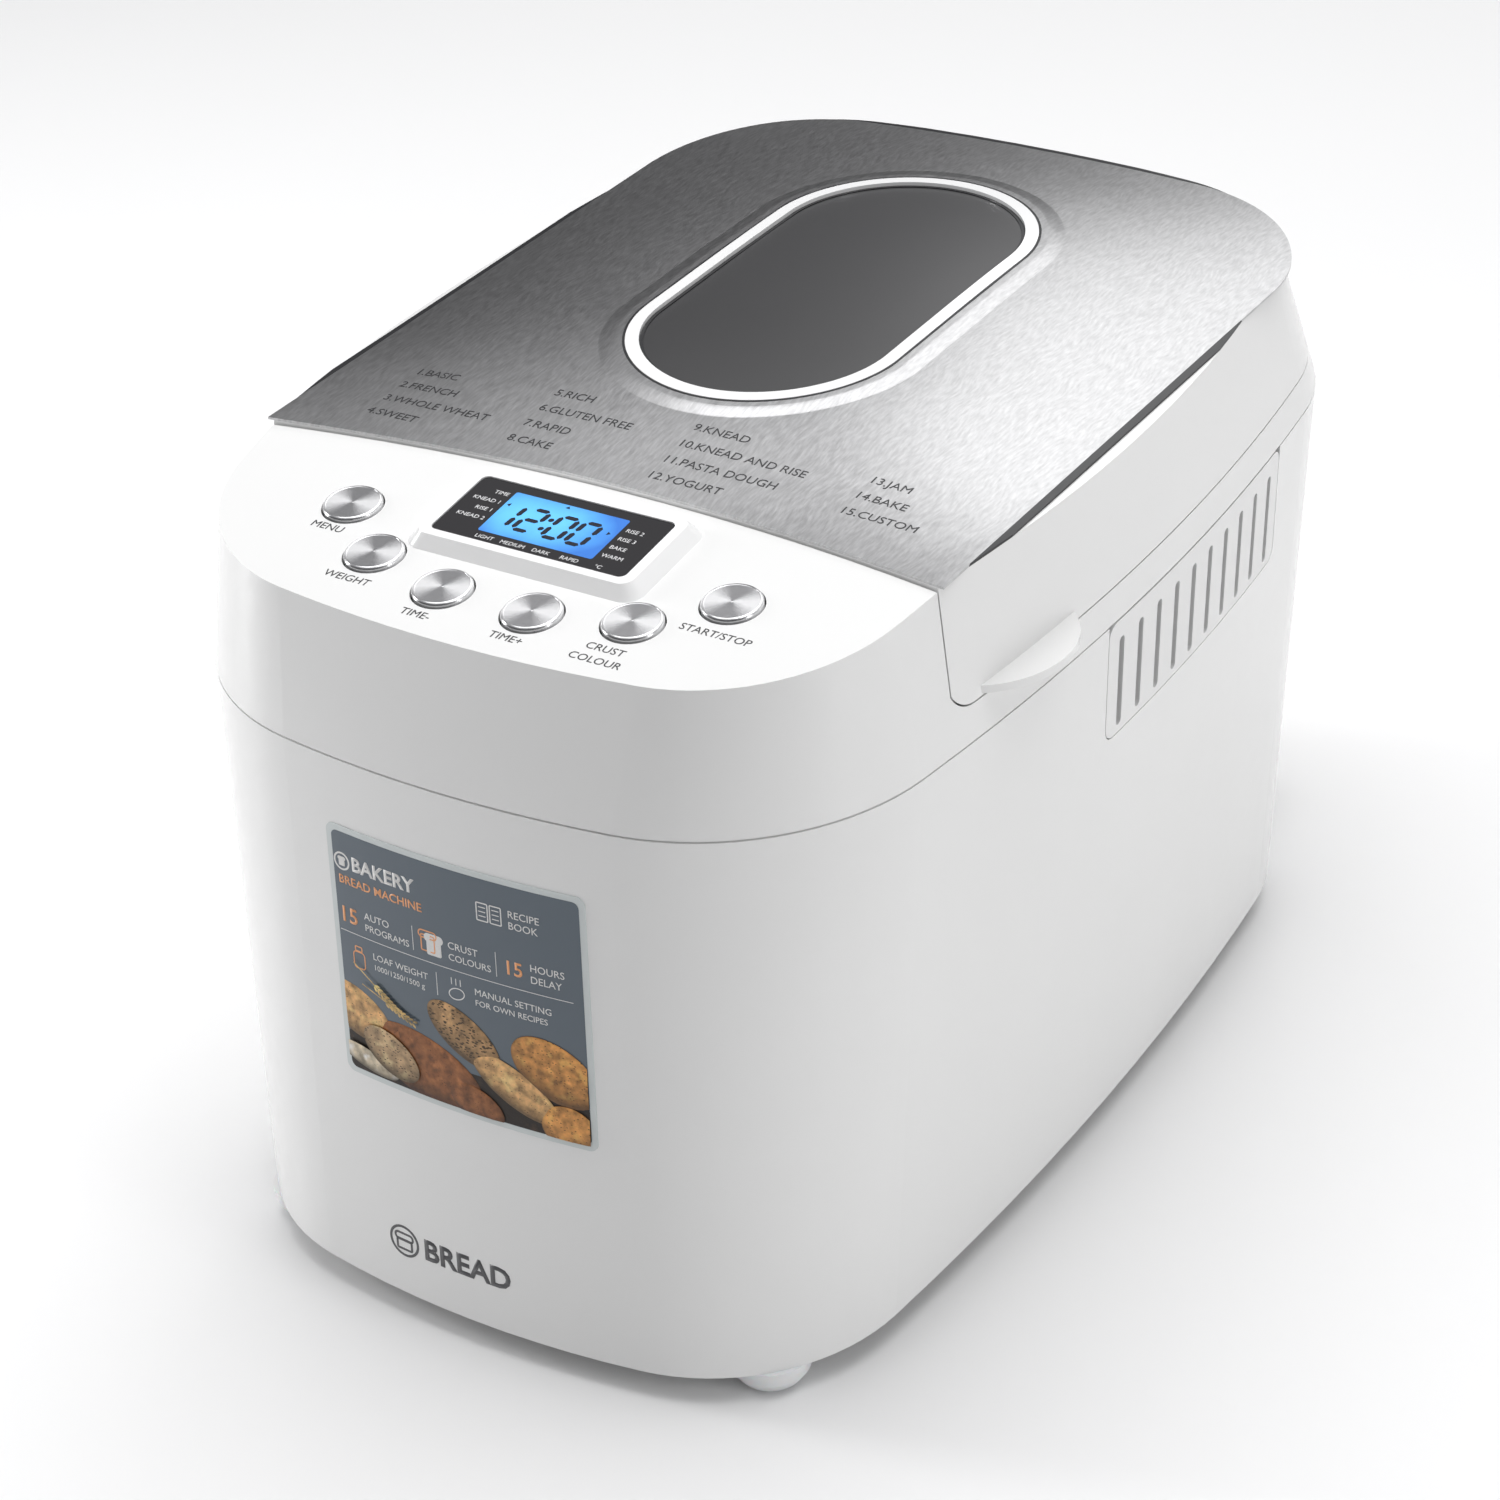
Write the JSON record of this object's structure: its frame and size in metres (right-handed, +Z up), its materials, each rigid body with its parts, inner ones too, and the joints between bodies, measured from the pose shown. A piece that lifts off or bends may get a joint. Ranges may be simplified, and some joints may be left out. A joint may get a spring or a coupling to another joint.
{
  "type": "bread machine",
  "caption": "Household bread machine with a crowned steel lid and window, sloping control panel with display and round keys, and a removable pan with kneading blades inside.",
  "frame": {"origin": "on the worktop, below the middle of the body seam outline", "axes": "+Z up, control panel faces -Y, lid opens toward +Y, +X to the right seen from the front"},
  "size_m": [0.276, 0.4104, 0.263],
  "materials": {
    "aluminium": "cast",
    "black_plastic": "matte",
    "black_rubber": "matte",
    "board_green": "solder mask",
    "board_parts": "matte",
    "bronze": "sintered",
    "brushed": "brushed",
    "chrome": "bright",
    "clear_glass": "clear",
    "foot_plastic": "soft",
    "grey_plastic": "matte",
    "label_film": "printed film",
    "lcd_blue": "backlit",
    "lens_black": "gloss",
    "motor_paint": "satin",
    "nonstick": "non-stick coating",
    "silicone": "matte",
    "smoked_glass": "tinted",
    "steel": "plain",
    "turned_metal": "spun",
    "white_gloss": "gloss",
    "white_satin": "satin"
  },
  "bodies": {
    "housing": {"lower_housing": "white_gloss", "base_plate": "grey_plastic", "feet": "foot_plastic", "upper_housing": "white_gloss", "display_bezel": "white_satin", "display_lens": "lens_black", "lcd_module": "lcd_blue", "control_board": "board_green", "tact_switches": "board_parts", "power_board": "board_parts", "motor": "motor_paint", "motor_capacitor": "grey_plastic", "drive_frame": "aluminium", "drive_bearings": "bronze", "drive_belt": "black_rubber", "transfer_belt": "black_rubber", "oven_chamber": "steel", "heating_element": "steel", "heater_clips": "steel", "temperature_sensor": "steel", "thermal_fuse": "board_parts", "pan_clips": "steel", "vent_panel_left": "white_gloss", "vent_panel_right": "white_gloss", "front_label": "label_film", "cord_gland": "black_plastic", "hinge_pins": "steel", "frame_screws": "steel", "base_screws": "steel"},
    "lid": {"lid_frame": "white_gloss", "lid_cover": "brushed", "lid_trim": "black_plastic", "window_bezel": "white_gloss", "window_glass": "smoked_glass", "lid_inner_panel": "aluminium", "window_inner_glass": "clear_glass", "lid_seal": "silicone", "lid_screws": "steel"},
    "key_menu": {"button_menu": "turned_metal"},
    "key_weight": {"button_weight": "turned_metal"},
    "key_time_minus": {"button_time_minus": "turned_metal"},
    "key_time_plus": {"button_time_plus": "turned_metal"},
    "key_crust": {"button_crust": "turned_metal"},
    "key_start": {"button_start": "turned_metal"},
    "pan": {"bread_pan": "nonstick", "pan_skirt": "aluminium", "pan_bushes": "bronze"},
    "handle": {"pan_handle": "chrome"},
    "paddle_front": {"pan_shaft_front": "steel", "kneading_blade_front": "nonstick"},
    "paddle_rear": {"pan_shaft_rear": "steel", "kneading_blade_rear": "nonstick"},
    "drive_front": {"drive_shaft_front": "steel", "main_pulley": "grey_plastic", "transfer_pulley_front": "grey_plastic"},
    "drive_rear": {"drive_shaft_rear": "steel", "transfer_pulley_rear": "grey_plastic"},
    "rotor": {"motor_shaft": "steel", "motor_pulley": "steel"}
  },
  "joints": [
    {"name": "lid_hinge", "type": "hinge", "parent": "housing", "child": "lid", "pos_m": [0, 0.1894, 0.2066], "axis": [-1, 0, 0], "range_deg": [0, 80]},
    {"name": "press_menu", "type": "slide", "parent": "housing", "child": "key_menu", "axis": [0, 0.1115, -0.9938], "range_m": [0, 0.001], "stiffness_N_per_m": 600},
    {"name": "press_weight", "type": "slide", "parent": "housing", "child": "key_weight", "axis": [0, 0.1115, -0.9938], "range_m": [0, 0.001], "stiffness_N_per_m": 600},
    {"name": "press_time_minus", "type": "slide", "parent": "housing", "child": "key_time_minus", "axis": [0, 0.1115, -0.9938], "range_m": [0, 0.001], "stiffness_N_per_m": 600},
    {"name": "press_time_plus", "type": "slide", "parent": "housing", "child": "key_time_plus", "axis": [0, 0.1115, -0.9938], "range_m": [0, 0.001], "stiffness_N_per_m": 600},
    {"name": "press_crust", "type": "slide", "parent": "housing", "child": "key_crust", "axis": [0, 0.1115, -0.9938], "range_m": [0, 0.001], "stiffness_N_per_m": 600},
    {"name": "press_start", "type": "slide", "parent": "housing", "child": "key_start", "axis": [0, 0.1115, -0.9938], "range_m": [0, 0.001], "stiffness_N_per_m": 600},
    {"name": "pan_lift", "type": "slide", "parent": "housing", "child": "pan", "axis": [0, 0, 1], "range_m": [0, 0.008]},
    {"name": "handle_swing", "type": "hinge", "parent": "pan", "child": "handle", "pos_m": [0, 0.036, 0.176], "axis": [0, -1, 0], "range_deg": [0, 17]},
    {"name": "drive_spin", "type": "hinge", "parent": "housing", "child": "drive_front", "pos_m": [0, -0.016, 0.03], "axis": [0, 0, 1], "continuous": true},
    {"name": "drive_rear_spin", "type": "hinge", "parent": "housing", "child": "drive_rear", "pos_m": [0, 0.088, 0.03], "axis": [0, 0, 1], "continuous": true},
    {"name": "motor_spin", "type": "hinge", "parent": "housing", "child": "rotor", "pos_m": [0.03, -0.142, 0.03], "axis": [0, 0, 1], "continuous": true},
    {"name": "paddle_front_spin", "type": "hinge", "parent": "pan", "child": "paddle_front", "pos_m": [0, -0.016, 0.08], "axis": [0, 0, 1], "continuous": true},
    {"name": "paddle_rear_spin", "type": "hinge", "parent": "pan", "child": "paddle_rear", "pos_m": [0, 0.088, 0.08], "axis": [0, 0, 1], "continuous": true}
  ],
  "couplings": [
    {"joint": "drive_rear_spin", "follows": "drive_spin", "ratio": 1},
    {"joint": "motor_spin", "follows": "drive_spin", "ratio": 5},
    {"joint": "paddle_front_spin", "follows": "drive_spin", "ratio": 1},
    {"joint": "paddle_rear_spin", "follows": "drive_spin", "ratio": 1}
  ]
}
